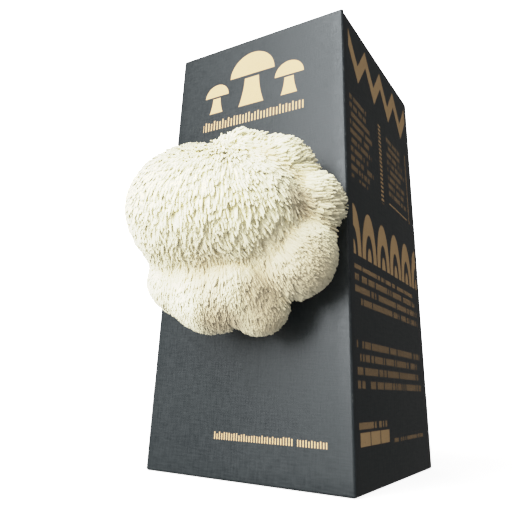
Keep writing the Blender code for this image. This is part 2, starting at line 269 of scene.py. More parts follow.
class Nodes:
    """A node tree, and the one way in which nodes are added to it."""

    def __init__(self, tree):
        self.tree = tree

    def node(self, kind, settings=(), inputs=()):
        """A node of any kind: its settings are set first, then its values and links."""
        made = self.tree.nodes.new(kind)
        for name, setting in dict(settings).items():
            setattr(made, name, setting)
        for name, given in dict(inputs).items():
            self.feed(made.inputs[name], given)
        return made

    def tone(self, kind, settings=(), inputs=(), output=0):
        """What a new node gives: a number, a colour or a vector."""
        return Tone(self, self.node(kind, settings, inputs).outputs[output])

    def feed(self, socket, given):
        if isinstance(given, Tone):
            self.tree.links.new(given.socket, socket)
        else:
            socket.default_value = given

    def math(self, operation, *terms):
        return self.tone("ShaderNodeMath", {"operation": operation}, dict(enumerate(terms)))

    def on_vectors(self, operation, first, second, output=0):
        settings = {"operation": operation}
        return self.tone("ShaderNodeVectorMath", settings, {0: first, 1: second}, output)


class Finish(Nodes):
    """A material: the constant values of its shader, and nodes for what changes."""

    def __init__(self, name, **constants):
        self.material = bpy.data.materials.new(name)
        self.material.use_nodes = True
        super().__init__(self.material.node_tree)
        self.shader = self.tree.nodes["Principled BSDF"]
        self.set(**constants)
        place = self.tone("ShaderNodeTexCoord", output="Object")
        self.spot = self.on_vectors("MULTIPLY", place, (1 / MM,) * 3)  # on the piece, in mm

    def axes(self):
        parts = self.node("ShaderNodeSeparateXYZ", (), {0: self.spot})
        return [Tone(self, socket) for socket in parts.outputs]

    def noise(self, per_mm, detail=3.0, roughness=0.55):
        """Cloudy noise from 0 to 1, with its own fineness along each axis."""
        fineness = per_mm if isinstance(per_mm, tuple) else (per_mm,) * 3
        inputs = {"Vector": self.on_vectors("MULTIPLY", self.spot, fineness), "Scale": 1.0}
        inputs |= {"Detail": detail, "Roughness": roughness}
        return self.tone("ShaderNodeTexNoise", (), inputs)

    def stored(self, name):
        return self.tone("ShaderNodeAttribute", {"attribute_name": name}, (), "Fac")

    def mix(self, amount, first, second):
        """One colour turning into another."""
        ends = (end if isinstance(end, Tone) else (*end, 1.0) for end in (first, second))
        inputs = {0: amount, **dict(zip((6, 7), ends))}
        return self.tone("ShaderNodeMix", {"data_type": "RGBA"}, inputs, 2)

    def bump(self, height, depth_mm):
        """Small relief: height from 0 to 1 stands for this many mm."""
        inputs = {"Height": height, "Distance": depth_mm * MM, "Strength": 1.0}
        self.set(normal=self.tone("ShaderNodeBump", (), inputs))

    def set(self, **links):
        """Give the shader's sockets their values or links, and return the material."""
        for words, given in links.items():
            name = words.replace("_", " ").title().replace("Ior", "IOR")
            self.feed(self.shader.inputs[name], given)
        return self.material


def link_object(name, data):
    made = bpy.data.objects.new(name, data)
    bpy.context.scene.collection.objects.link(made)
    return made


def settle(bm, name, *materials, smooth_below=None):
    """Turn a bmesh in mm into an object in metres."""
    bmesh.ops.scale(bm, vec=(MM, MM, MM), verts=bm.verts)
    mesh = bpy.data.meshes.new(name)
    bm.to_mesh(mesh)
    bm.free()
    for material in materials:
        mesh.materials.append(material)
    mesh.shade_smooth()
    if smooth_below is not None:
        mesh.set_sharp_from_angle(angle=math.radians(smooth_below))
    return link_object(name, mesh)


def covered(bm, side):
    """A mesh with one of its materials all over."""
    for face in bm.faces:
        face.material_index = side
    return bm


def box_mesh(low, high, side=OUTER):
    """A closed box between two corners, all in one material."""
    bm = bmesh.new()
    bmesh.ops.create_cube(bm, size=1.0)
    for vert in bm.verts:
        vert.co = Vector(low[axis] if vert.co[axis] < 0 else high[axis] for axis in range(3))
    return covered(bm, side)


def rounded_box(low, high, radius, steps, rounds=lambda edge: True):
    """A box with the chosen edges rounded."""
    bm = box_mesh(low, high)
    chosen = [edge for edge in bm.edges if rounds(edge)]
    bmesh.ops.bevel(bm, geom=chosen, offset=radius, segments=steps, profile=0.5, affect="EDGES")
    return bm


def prism_mesh(outline, low, high, side):
    """A flat outline in X and Y, raised from one height to another."""
    bm = bmesh.new()
    base = bm.faces.new([bm.verts.new((x, y, low)) for x, y in outline])
    raised = bmesh.ops.extrude_face_region(bm, geom=[base])["geom"]
    lifted = [part for part in raised if isinstance(part, bmesh.types.BMVert)]
    bmesh.ops.translate(bm, verts=lifted, vec=(0, 0, high - low))
    bmesh.ops.recalc_face_normals(bm, faces=bm.faces)
    return covered(bm, side)


def bar_mesh(radius, front, back, side=OUTER):
    """A round bar along Y, at the height of the window."""
    bm = bmesh.new()
    turn = Matrix.Rotation(math.radians(90), 4, "X")
    place = Matrix.Translation((0, (front + back) / 2, WINDOW_HEIGHT)) @ turn
    sizes = {"radius1": radius, "radius2": radius, "depth": back - front}
    bmesh.ops.create_cone(bm, cap_ends=True, segments=WINDOW_STEPS, matrix=place, **sizes)
    return covered(bm, side)


def combined(body, steps, materials):
    """Join shapes to a body or cut them out of it, and read back the mesh in mm."""
    target = settle(body, "body", *materials)
    helpers = [target]
    for operation, shape in steps:
        helper = settle(shape, "helper", *materials)
        step = target.modifiers.new("step", "BOOLEAN")
        step.operation = operation
        step.object = helper
        step.solver = "EXACT"
        helpers.append(helper)
    bpy.context.view_layer.update()
    result = target.evaluated_get(bpy.context.evaluated_depsgraph_get())
    bm = bmesh.new()
    bm.from_mesh(result.to_mesh())
    result.to_mesh_clear()
    for helper in helpers:
        bpy.data.objects.remove(helper, do_unlink=True)
    bmesh.ops.scale(bm, vec=(1 / MM, 1 / MM, 1 / MM), verts=bm.verts)
    return bm


def cut_in_grid(bm, low, high, pitch):
    """Cut a mesh along planes at a regular pitch, so that it can bend."""
    for start, end, way in zip(low, high, Matrix.Identity(3)):
        count = int((end - start) / pitch)
        for index in range(1, count):
            place = way * (start + (end - start) * index / count)
            parts = [*bm.verts, *bm.edges, *bm.faces]
            bmesh.ops.bisect_plane(bm, geom=parts, dist=1e-4, plane_co=place, plane_no=way)


def bow_walls(bm):
    """Let the carton's walls stand out a little in their middles, with faint dents."""
    for vert in bm.verts:
        x, y, z = vert.co
        tall = 1 - ((z - CARTON_HEIGHT / 2) / (CARTON_HEIGHT / 2)) ** 2
        on_side = min(max((abs(x) - SIDE_WALLS_FROM) / BOW_BLEND, 0), 1)
        on_end = min(max((abs(y) - END_WALLS_FROM) / BOW_BLEND, 0), 1)
        dent = DENT * noise.noise(vert.co * 0.05)
        push_x = BOW * tall * (1 - (y / BACK) ** 2) + dent * tall
        push_y = BOW * 0.7 * tall * (1 - (x / SIDE) ** 2) + dent * tall
        vert.co.x += math.copysign(push_x * on_side, x)
        vert.co.y += math.copysign(push_y * on_end, y)


def make_carton(board):
    """Four walls, the locked bottom, the dust flaps and the glue tab: one folded sheet."""

    def folds(edge):
        return (edge.verts[0].co + edge.verts[1].co).z / 2 < CARTON_HEIGHT - 1

    low, high = (-SIDE, FRONT, 0), (SIDE, BACK, CARTON_HEIGHT)
    outside = rounded_box(low, high, CREASE_RADIUS, CREASE_STEPS, folds)
    for face in outside.faces:
        if face.normal.z > 0.9:
            face.material_index = RAW
    above = CARTON_HEIGHT + 10
    inner = SIDE - BOARD
    room = box_mesh((-inner, FRONT + BOARD, FLOOR_TOP), (inner, BACK - BOARD, above), INNER)
    beyond = SIDE + CLEAR
    over_high = (beyond, BACK + CLEAR, above)
    over = box_mesh((-beyond, FRONT + BOARD, WALL_TOP), over_high, RAW)
    tab_low = (-inner - BOARD / 2, BACK - BOARD - TAB_WIDTH, FLOOR_TOP - BOARD / 2)
    tab = box_mesh(tab_low, (-inner + BOARD, BACK - BOARD / 2, TAB_TOP), INNER)
    window = bar_mesh(WINDOW_RADIUS, FRONT - 5, FRONT + 5, RAW)
    glue_y = BACK - GLUE_EDGE_FROM_BACK
    glue_high = (-SIDE + SCORE_DEPTH, glue_y + SCORE_WIDTH, above)
    glue_edge = box_mesh((-beyond, glue_y, 2), glue_high, RAW)
    steps = [("DIFFERENCE", room), ("DIFFERENCE", over)]
    steps += [("UNION", shape) for shape in (dust_flap(-1), dust_flap(1), tab)]
    steps += [("DIFFERENCE", shape) for shape in (window, lock_seam(), glue_edge)]
    bm = combined(outside, steps, board)
    cut_in_grid(bm, low, high, GRID)
    bow_walls(bm)
    return settle(bm, "carton_board", *board, smooth_below=30)


def dust_flap(side):
    """A tapered flap that reaches in from the top of one side wall."""
    inner = SIDE - FLAP_REACH
    corners = [
        (SIDE - BOARD / 2, FLAP_FRONT),
        (inner, FLAP_FRONT + FLAP_TAPER),
        (inner, FLAP_BACK - FLAP_TAPER),
        (SIDE - BOARD / 2, FLAP_BACK),
    ]
    outline = [(side * x, y) for x, y in corners]
    flap = prism_mesh(outline, WALL_TOP - BOARD, WALL_TOP, RAW)
    for face in flap.faces:
        if abs(face.normal.z) > 0.9:
            face.material_index = OUTER if face.normal.z > 0 else INNER
    return flap


def lock_seam():
    """The seam of the locking flaps across the bottom, with its tongue in the middle."""
    right = [
        (LOCK_HALF_WIDTH, LOCK_OFFSET),
        (LOCK_HALF_WIDTH + LOCK_SLANT, -LOCK_OFFSET),
        (SIDE + CLEAR, -LOCK_OFFSET),
    ]
    line = [(-x, y) for x, y in reversed(right)] + right
    far_side = [(x, y + SCORE_WIDTH) for x, y in reversed(line)]
    return prism_mesh(line + far_side, -CLEAR, SCORE_DEPTH, RAW)


def folded_sheet(path, half_widths, thickness, across):
    """A folded sheet: its middle line in Y and Z, and its half width at each point."""
    bm = bmesh.new()
    rings = []
    for index, point in enumerate(path):
        before = path[max(index - 1, 0)]
        after = path[min(index + 1, len(path) - 1)]
        along = (after - before).normalized()
        outward = Vector((-along.y, along.x))
        ring = []
        for face in (-1, 1):
            place = point + outward * thickness / 2 * face
            for step in range(across + 1):
                share = 2 * step / across - 1
                x = half_widths[index] * share * -face
                ring.append(bm.verts.new((x, *place)))
        rings.append(ring)
    turn = len(rings[0])
    for ring, following in zip(rings, rings[1:]):
        for corner in range(turn):
            after = (corner + 1) % turn
            corners = (ring[corner], ring[after], following[after], following[corner])
            face = bm.faces.new(corners)
            edge = corner in (across, turn - 1)
            face.material_index = RAW if edge else (INNER if corner < across else OUTER)
    for ring in (rings[0], rings[-1][::-1]):
        bm.faces.new(ring).material_index = RAW
    bmesh.ops.recalc_face_normals(bm, faces=bm.faces)
    return bm


def fold_arc(centre, turn, side):
    """Points round a fold of the board, from its top towards the front or the back."""
    angles = [turn * step / FOLD_STEPS for step in range(1, FOLD_STEPS + 1)]
    ways = [Vector((side * math.sin(angle), math.cos(angle))) for angle in angles]
    return [centre + CREASE_RADIUS * way for way in ways]


def make_lid(board):
    """The lid panel and its tuck tongue."""
    middle_height = CARTON_HEIGHT - BOARD / 2
    narrow = SIDE - BOARD - 2 * LID_INSET
    panel_front = LID_FRONT + BOARD / 2 + CREASE_RADIUS
    path = []
    half_widths = [SIDE - LID_INSET] * (PANEL_STEPS + 1)
    for step in range(PANEL_STEPS + 1):
        share = step / PANEL_STEPS
        y = LID_BACK + (panel_front - LID_BACK) * share
        crown = LID_BOW * (1 - (2 * share - 1) ** 2)
        path.append(Vector((y, middle_height - crown)))
    turn = math.atan2(TONGUE_LENGTH, TONGUE_SET_BACK)
    path += fold_arc(Vector((panel_front, middle_height - CREASE_RADIUS)), turn, -1)
    down = Vector((math.cos(turn), -math.sin(turn)))
    corner_start = path[-1] + down * (TONGUE_LENGTH - TONGUE_CORNER - CREASE_RADIUS)
    path.append(corner_start)
    half_widths += [narrow] * (FOLD_STEPS + 1)
    for step in range(1, CORNER_STEPS + 1):
        angle = math.radians(90) * step / CORNER_STEPS
        path.append(corner_start + down * TONGUE_CORNER * math.sin(angle))
        half_widths.append(narrow - TONGUE_CORNER * (1 - math.cos(angle)))
    bm = folded_sheet(path[::-1], half_widths[::-1], BOARD, PANEL_STEPS)
    return settle(bm, "lid_board", *board, smooth_below=50)


def make_lid_fold(board):
    """The strip of board that bends between the back wall and the lid."""
    middle_y = BACK - BOARD / 2
    middle_z = CARTON_HEIGHT - BOARD / 2
    centre = Vector((middle_y - CREASE_RADIUS, middle_z - CREASE_RADIUS))
    path = [Vector((LID_BACK - FOLD_REACH, middle_z)), Vector((centre.x, middle_z))]
    path += fold_arc(centre, math.radians(90), 1)
    path.append(Vector((middle_y, WALL_TOP - FOLD_REACH)))
    half_widths = [SIDE - LID_INSET] * len(path)
    bm = folded_sheet(path, half_widths, BOARD, PANEL_STEPS)
    return settle(bm, "lid_fold", *board, smooth_below=60)


def standing_box(half_width, half_depth, base, height, corner, pitch):
    """A rounded box that can bend, standing in the carton."""
    low, high = (-half_width, -half_depth, base), (half_width, half_depth, base + height)
    bm = rounded_box(low, high, corner, CORNER_ROUNDS)
    cut_in_grid(bm, low, high, pitch)
    return bm


def make_block(sawdust):
    """The sawdust block, its corners rounded and its surface crumbly."""
    base = FLOOR_TOP + SEAM + FILM + SEAM
    sizes = (BLOCK_WIDTH / 2, BLOCK_DEPTH / 2, base, BLOCK_HEIGHT)
    bm = standing_box(*sizes, BLOCK_CORNER, CRUMB_GRID)
    bmesh.ops.recalc_face_normals(bm, faces=bm.faces)
    bm.normal_update()
    for vert in bm.verts:
        crumb = noise.fractal(vert.co * 0.35, 0.8, 2.0, 4)
        vert.co += vert.normal * (CRUMB * crumb - CRUMB)
    return settle(bm, "sawdust_block", sawdust)


def make_bag(film):
    """Clear film drawn tight round the block and creased, open at the window."""
    half_width = BLOCK_WIDTH / 2 + SEAM + FILM
    half_depth = BLOCK_DEPTH / 2 + SEAM + FILM
    sizes = (half_width, half_depth, FLOOR_TOP + SEAM, BLOCK_HEIGHT + 2 * (SEAM + FILM))
    bm = standing_box(*sizes, BLOCK_CORNER + SEAM + FILM, FILM_GRID)
    gap = []
    for face in bm.faces:
        centre = face.calc_center_median()
        away = math.hypot(centre.x, centre.z - WINDOW_HEIGHT)
        if centre.y < -half_depth + 2 and away < WINDOW_RADIUS - 0.5:
            gap.append(face)
    bmesh.ops.delete(bm, geom=gap, context="FACES")
    bm.normal_update()
    for vert in bm.verts:
        crease = abs(noise.noise(vert.co * 0.11)) + 0.5 * abs(noise.noise(vert.co * 0.31))
        vert.co += vert.normal * (FILM_CREASE * max(0.4 - crease, 0) / 0.4)
    skin = settle(bm, "bag_film", film)
    thicken = skin.modifiers.new("thickness", "SOLIDIFY")
    thicken.thickness = SHOWN_FILM * MM
    thicken.offset = -1
    return skin


def make_bag_fold(film):
    """The bag's flattened top, rolled over on itself into a flat pad of layers."""
    width, depth, thickness = BAG_FOLD
    top = FLOOR_TOP + SEAM + BLOCK_HEIGHT + 2 * (SEAM + FILM)
    gap = thickness / FOLD_LAYERS
    path = []
    for layer in range(FOLD_LAYERS):
        height = top + gap * (layer + 0.35)
        reach_y = depth / 2 - 0.6 - 0.5 * layer
        facing = 1 if layer % 2 == 0 else -1
        for step in range(RIPPLE_STEPS + 1):
            share = 2 * step / RIPPLE_STEPS - 1
            ripple = RIPPLE * math.sin(5 * share + 2 * layer)
            path.append(Vector((facing * share * reach_y, height + ripple)))
        if layer < FOLD_LAYERS - 1:
            path.append(Vector((facing * (reach_y + gap / 2), height + gap / 2)))
    half_widths = [width / 2] * len(path)
    bm = covered(folded_sheet(path, half_widths, SHOWN_FILM, 20), OUTER)
    for vert in bm.verts:
        vert.co.z += 0.1 * noise.noise(vert.co * 0.2)
    return settle(bm, "bag_top_fold", film)


def lobe_shares(points):
    """How far the nearest lobe is, and how much each lobe counts, at each point."""
    balls = np.array(list(LOBES.values()))
    away = np.linalg.norm(points[None] - balls[:, None, :3], axis=2) - balls[:, 3:4]
    nearest = away.min(axis=0)
    return nearest, np.exp(-(away - nearest) / LOBE_BLEND)


def lobe_depth(points):
    """How far each point lies outside the blended lobes. Inside is negative."""
    nearest, shares = lobe_shares(points)
    return nearest - LOBE_BLEND * np.log(shares.sum(axis=0))


def fineness(points):
    """How fine and even the spines are at each point, from 0 to 1."""
    fine = np.array([lobe[8] for lobe in LOBES.values()])
    shares = lobe_shares(points)[1]
    return fine @ shares / shares.sum(axis=0)


def combing(points):
    """The way the spines are combed at each point, longer where they lie flatter."""
    shares = lobe_shares(points)[1]
    shares = shares / shares.sum(axis=0)
    ways = np.zeros_like(points)
    for lobe, share in zip(LOBES.values(), shares):
        ways += (share * lobe[7])[:, None] * unit(points - np.array(lobe[4:7]))
    return ways


def woolly(points):
    """From 0 to 1, how far the spines are short and lie flat: on the upper dome."""
    combed = np.linalg.norm(combing(points), axis=1)
    upward = outward_slope(points)[:, 2]
    band = np.clip((upward + 0.1) / 0.4, 0, 1) * np.clip((0.85 - upward) / 0.25, 0, 1)
    return band * np.clip((combed - 0.9) / 0.4, 0, 1)


def pile(points):
    """The height of the spines over the flesh at each point."""
    return PILE * (1 - 0.3 * woolly(points))


def flesh_reach(directions, less=0.0):
    """How far the flesh reaches from the mushroom's middle in each direction."""
    points = MUSHROOM_MIDDLE + directions * reach(directions, PILE)[:, None]
    return reach(directions, pile(points) - less)


def reach(directions, inset):
    """How far the mushroom reaches from its middle in each direction, less an inset."""
    distance = np.full(len(directions), FAR_OUT)
    for _ in range(50):
        points = MUSHROOM_MIDDLE + directions * distance[:, None]
        distance -= np.maximum(lobe_depth(points) + inset, 0)
    to_back = (MUSHROOM_BACK - MUSHROOM_MIDDLE[1]) / np.maximum(directions[:, 1], 1e-6)
    return np.minimum(distance, to_back)


def spiral_directions(count):
    """Directions spread evenly over a ball, along a spiral."""
    rank = np.arange(count) + 0.5
    height = 1 - 2 * rank / count
    angle = rank * math.pi * (3 - math.sqrt(5))
    level = np.sqrt(1 - height**2)
    return np.stack([level * np.cos(angle), level * np.sin(angle), height], axis=1)


def unit(vectors):
    return vectors / np.maximum(np.linalg.norm(vectors, axis=-1, keepdims=True), 1e-9)


def outward_slope(points, step=0.5):
    """The direction out of the lobes at each point."""
    slopes = [
        lobe_depth(points + step * axis) - lobe_depth(points - step * axis)
        for axis in np.eye(3)
    ]
    return unit(np.stack(slopes, axis=1))


def spread_roots(chance):
    """Points spread over the flesh at random but well apart, except on its flat back."""
    tries = spiral_directions(TRIED_DIRECTIONS)
    distance = flesh_reach(tries)
    points = tries * distance[:, None] + MUSHROOM_MIDDLE
    outward = outward_slope(points)
    facing = np.maximum((outward * tries).sum(axis=1), 0.15)
    area = distance**2 / facing * 4 * math.pi / len(tries)
    share = area / spacing_for(fineness(points)) ** 2
    share[points[:, 1] > MUSHROOM_BACK - 0.2] = 0
    points = points[chance.random(len(tries)) < share]
    for _ in range(2):
        points = push_apart(points)
        directions = unit(points - MUSHROOM_MIDDLE)
        points = MUSHROOM_MIDDLE + directions * flesh_reach(directions)[:, None]
    return points[points[:, 1] < MUSHROOM_BACK - 0.2]


def spacing_for(fine):
    return COARSE_SPACING + (FINE_SPACING - COARSE_SPACING) * fine


def tree_of(points):
    """The points, ready to be searched for the nearest ones."""
    tree = kdtree.KDTree(len(points))
    for index, point in enumerate(points):
        tree.insert(point, index)
    tree.balance()
    return tree


def push_apart(points):
    """Move each point a little away from its near neighbours."""
    tree = tree_of(points)
    room = spacing_for(fineness(points))[:, None, None] * 1.1
    found = [tree.find_n(point, CLOSE_NEIGHBOURS + 1)[1:] for point in points]
    near = np.array([[neighbour[1] for neighbour in group] for group in found])
    gap = points[:, None] - points[near]
    apart = np.linalg.norm(gap, axis=2, keepdims=True) + 1e-6
    push = gap / apart * np.maximum(room - apart, 0)
    return points + 0.45 * push.sum(axis=1)


def valley_depth(points, outward):
    """How deep each point lies in a crease between lobes, from 0 to 1."""
    side = unit(np.cross(outward, DOWN + 0.01))
    up = np.cross(side, outward)
    level = np.zeros(len(points))
    ways = 8
    for step in range(ways):
        angle = 2 * math.pi * step / ways
        way = math.cos(angle) * side + math.sin(angle) * up
        level += lobe_depth(points + VALLEY_REACH * way) - lobe_depth(points)
    return np.clip(0.25 - level / ways, 0, 1)


def nearest_tuft(roots, chance):
    """The vector from each root to the middle of its tuft, and the tuft's number."""
    count = int(len(roots) * (COARSE_SPACING / TUFT_SPACING) ** 2)
    middles = roots[chance.choice(len(roots), count, replace=False)]
    tree = tree_of(middles)
    nearest = np.array([tree.find(point)[1] for point in roots])
    return middles[nearest] - roots, nearest


def grow_spines(chance):
    """The middle line, the width and the tones of every spine."""
    roots = spread_roots(chance)
    if len(roots) > MAX_SPINES:
        roots = roots[chance.permutation(len(roots))[:MAX_SPINES]]
    count = len(roots)
    outward = outward_slope(roots)
    valley = valley_depth(roots, outward)
    flat = woolly(roots)
    fine = np.maximum(fineness(roots), 0.4 * flat)
    combed = combing(roots)
    fall = combed - (combed * outward).sum(axis=1)[:, None] * outward
    to_tuft, tuft = nearest_tuft(roots, chance)
    tufts = tuft.max() + 1
    lean = chance.normal(size=(tufts, 3))[tuft] * TUFT_LEAN
    wobble = chance.normal(size=(count, 3)) * 0.13 + lean
    wobble = wobble * (1 - 0.6 * fine)[:, None]
    flat = flat[:, None]
    start = unit((0.85 - 0.2 * flat) * outward + (0.8 + 0.2 * flat) * fall + wobble)
    long = chance.random(count) < LONG_SHARE
    lift = 0.34 - 0.1 * flat - 0.16 * long[:, None]
    end = unit(lift * outward + 1.4 * fall + wobble)
    rise = ((start + end) * outward).sum(axis=1) / 2
    uneven = chance.normal(size=tufts)[tuft] * 0.06 + 0.1 * chance.random(count)
    uneven -= np.where(long, 0, 0.28 + 0.3 * chance.random(count))
    height = pile(roots) * (1 + uneven * (1 - 0.8 * fine))
    length = height / np.maximum(rise, 0.3)
    length = np.clip(length, SHORTEST_SPINE, LONGEST_SPINE)[:, None]
    shares = np.append(SPINE_RINGS, 1.0)
    bend = roots + start * (length / 2)
    tip = bend + end * (length / 2) + to_tuft * (TUFT_PULL * (1 - fine))[:, None]
    proud = np.maximum(lobe_depth(tip) - TIP_ALLOWANCE * (1 - fine), 0)
    tip -= outward * proud[:, None]
    lines = [(1 - t) ** 2 * roots + 2 * t * (1 - t) * bend + t**2 * tip for t in shares]
    lines = np.stack(lines, axis=1)
    lines[:, :, 1] = np.minimum(lines[:, :, 1], MUSHROOM_BACK + 0.1)
    radius = COARSE_RADIUS + (FINE_RADIUS - COARSE_RADIUS) * fine
    thickness = chance.random(count)
    return {
        "lines": lines,
        "radius": radius * (0.85 + 0.3 * thickness),
        "tone": np.clip(0.5 + 0.18 * chance.normal(size=count), 0, 1),
        "valley": valley,
        # How far each spine faces down, for the shade painted on the undersides
        "under": np.clip(-outward[:, 2], 0, 1),
        "outward": outward,
        "softness": SOFTNESS + (FINE_SOFTNESS - SOFTNESS) * fine**2,
    }


def fill(rows, label, values, kind=np.float32):
    """Give every row of a mesh its values at once."""
    rows.foreach_set(label, values.astype(kind).ravel())


def store(mesh, label, values):
    """Keep a number at each corner of a mesh, for its material."""
    fill(mesh.attributes.new(label, "FLOAT", "POINT").data, "value", values)


def spine_mesh(name, spines, cream):
    """Tapered, curved spines as one mesh, each with its own cell of the bake map."""
    lines, radius = spines["lines"], spines["radius"]
    count, rings = len(lines), len(SPINE_RINGS)
    along = unit(np.gradient(lines, axis=1))
    across = unit(np.cross(along, np.array((0.31, 0.9, 0.2))))
    over = np.cross(along, across)
    angles = 2 * math.pi * np.arange(SPINE_SIDES) / SPINE_SIDES
    widths = radius[:, None] * np.array(SPINE_WIDTHS)
    circle = across[:, :rings, None] * np.cos(angles)[:, None]
    circle = circle + over[:, :rings, None] * np.sin(angles)[:, None]
    walls = lines[:, :rings, None] + circle * widths[:, :, None, None]
    verts = np.concatenate([walls.reshape(count, -1, 3), lines[:, -1:]], axis=1)
    facing = np.concatenate([circle.reshape(count, -1, 3), along[:, -1:]], axis=1)
    per_spine = verts.shape[1]
    soft = spines["softness"][:, None, None]
    facing = unit(facing * (1 - soft) + spines["outward"][:, None] * soft)
    corners, sizes, map_places = spine_faces()
    number = np.arange(count)[:, None]
    faces = corners + number * per_spine
    mesh = bpy.data.meshes.new(name)
    mesh.vertices.add(count * per_spine)
    fill(mesh.vertices, "co", verts * MM)
    mesh.loops.add(faces.size)
    fill(mesh.loops, "vertex_index", faces, np.int32)
    starts = np.cumsum(sizes) - sizes + number * len(corners)
    mesh.polygons.add(starts.size)
    fill(mesh.polygons, "loop_start", starts, np.int32)
    mesh.update(calc_edges=True)
    cells = math.ceil(math.sqrt(count))
    cell = np.stack([number % cells, number // cells], axis=2)
    places = (cell + 0.12 + 0.76 * map_places) / cells
    fill(mesh.uv_layers.new(name="OFBake").uv, "vector", places)
    shares = np.append(np.repeat(SPINE_RINGS, SPINE_SIDES), 1.0)
    store(mesh, "along", np.tile(shares, count))
    for label in ("tone", "valley", "under"):
        store(mesh, label, np.repeat(spines[label], per_spine))
    mesh.materials.append(cream)
    mesh.shade_smooth()
    mesh.normals_split_custom_set_from_vertices(facing.reshape(-1, 3).tolist())
    return link_object(name, mesh)


def spine_faces():
    """One spine's faces as corner numbers, their sizes, and their places in its map cell."""
    rings = len(SPINE_RINGS)
    faces = []
    for ring in range(rings):
        base = ring * SPINE_SIDES
        low, high = ring / rings, (ring + 1) / rings
        for side in range(SPINE_SIDES):
            after = (side + 1) % SPINE_SIDES
            left, right = side / SPINE_SIDES, (side + 1) / SPINE_SIDES
            face = [(base + side, left, low), (base + after, right, low)]
            above = base + SPINE_SIDES
            if ring < rings - 1:
                face += [(above + after, right, high), (above + side, left, high)]
            else:
                face.append((above, (left + right) / 2, 1.0))
            faces.append(face)
    small = ((0.0, 0.0), (0.02, 0.0), (0.02, 0.02), (0.0, 0.02))
    root = reversed(range(SPINE_SIDES))
    faces.append([(corner, *place) for corner, place in zip(root, small)])
    table = np.array([corner for face in faces for corner in face])
    return table[:, 0].astype(int), np.array([len(face) for face in faces]), table[:, 1:]


def make_spines(cream):
    """All the spines, in four pieces that each hold the same number."""
    chance = np.random.default_rng(7)
    spines = grow_spines(chance)
    roots = spines["lines"][:, 0] - MUSHROOM_MIDDLE
    turn = (np.arctan2(roots[:, 0], roots[:, 2]) + math.pi / 4) % (2 * math.pi)
    order = np.argsort(turn)
    pieces = []
    names = ("top", "right", "bottom", "left")
    for name, group in zip(names, np.array_split(order, len(names))):
        chosen = {label: values[group] for label, values in spines.items()}
        pieces.append(spine_mesh(f"spines_{name}", chosen, cream))
    return pieces


def make_flesh(cream):
    """The solid flesh under the spines, and the neck that passes through the window."""
    bm = bmesh.new()
    bmesh.ops.create_icosphere(bm, subdivisions=6, radius=1.0)
    directions = np.array([vert.co for vert in bm.verts])
    distance = flesh_reach(directions, 0.15)
    for vert, direction, far in zip(bm.verts, directions, distance):
        place = Vector(MUSHROOM_MIDDLE + direction * far)
        if place.y < MUSHROOM_BACK - 0.5:
            place += Vector(direction) * (0.25 * noise.noise(place * 0.9) - 0.2)
        vert.co = place
    neck = bar_mesh(NECK_RADIUS, FRONT - 4, -BLOCK_DEPTH / 2 - SEAM)
    bm = combined(bm, [("UNION", neck)], [cream])
    places = np.array([vert.co for vert in bm.verts])
    valley = valley_depth(places, outward_slope(places))
    flesh = settle(bm, "flesh", cream, smooth_below=60)
    store(flesh.data, "valley", valley)
    return flesh


def cap_and_stem(x, z, middle, size):
    """A plain printed mushroom: a half-round cap over a stem that widens at its foot."""
    height = PRINTED_BASE + 1.3 * size
    across = abs(x - middle) / size
    up = (z - height) / size
    ring = (across * across + up * up) ** 0.5
    cap = (1 - ring.rise(0.97, 1.0)) * up.rise(0.0, 0.03)
    flare = 0.3 + 0.14 * up * up
    stem = (1 - (across - flare).rise(0.0, 0.03)) * up.within(-1.3, -0.12, 0.02)
    return cap.most(stem)


def fringe(across, up, left, right, low, high, pitch):
    """A row of fine upright strokes of uneven height, in groups."""
    step = across / pitch
    height = low + (high - low) * (0.72 + 0.28 * step.floor().chance(2.5))
    strokes = step.fraction().within(0.2, 0.68, 0.12)
    group = step / 6
    groups = group.floor().chance(5.5).rise(0.15, 0.16)
    groups = groups.most(1 - group.fraction().within(0.3, 0.55, 0.01))
    inside = across.within(left, right) * (up - low).rise(-0.1, 0.1)
    return strokes * inside * groups * (height - up).rise(-0.1, 0.1)


def rows_of_bars(across, up, left, right, low, high, pitch):
    """Rows of short bars of uneven length, each made of fine upright strokes."""
    bars = up.repeat(pitch).within(0.225, 0.775, 0.06)
    bars = bars * (0.12 + 0.88 * across.repeat(STROKE_PITCH).within(0.12, 0.56, 0.1))
    row = (up / pitch).floor()
    gap = (across / LETTER_PITCH).floor().chance(row).rise(0.2, 0.21)
    ragged = right - 9 * row.chance(7.3)
    inside = (across - left).rise(-0.1, 0.1) * (ragged - across).rise(-0.1, 0.1)
    return bars * gap * inside * up.within(low, high, 0.05)


def front_print(x, z):
    """Tan print on the front: three mushrooms and two fringes of fine strokes."""
    marks = [cap_and_stem(x, z, *mushroom) for mushroom in PRINTED_MUSHROOMS]
    return reduce(Tone.most, marks + [fringe(x, z, *area) for area in FRINGES])


def zigzag(y, z):
    slant = abs(y.repeat(ZIGZAG_PITCH) - 0.5) * ZIGZAG_PITCH
    line = (z - 166 - slant * 1.35).within(3.0, 12.5, 0.15)
    return line * z.within(165.0, 195.0) * y.within(-44.0, 44.0)


def arches(y, z):
    across = (y.repeat(ARCH_PITCH) - 0.5) * ARCH_PITCH
    up = (z - ARCH_BASE).most(0)
    ring = (across * across + up * up * 0.16) ** 0.5
    drawn = ring.within(4.6, 8.4, 0.12).most(1 - ring.rise(2.2, 2.4))
    return drawn * z.within(ARCH_BASE, 106.0) * y.within(-45.0, 45.0)


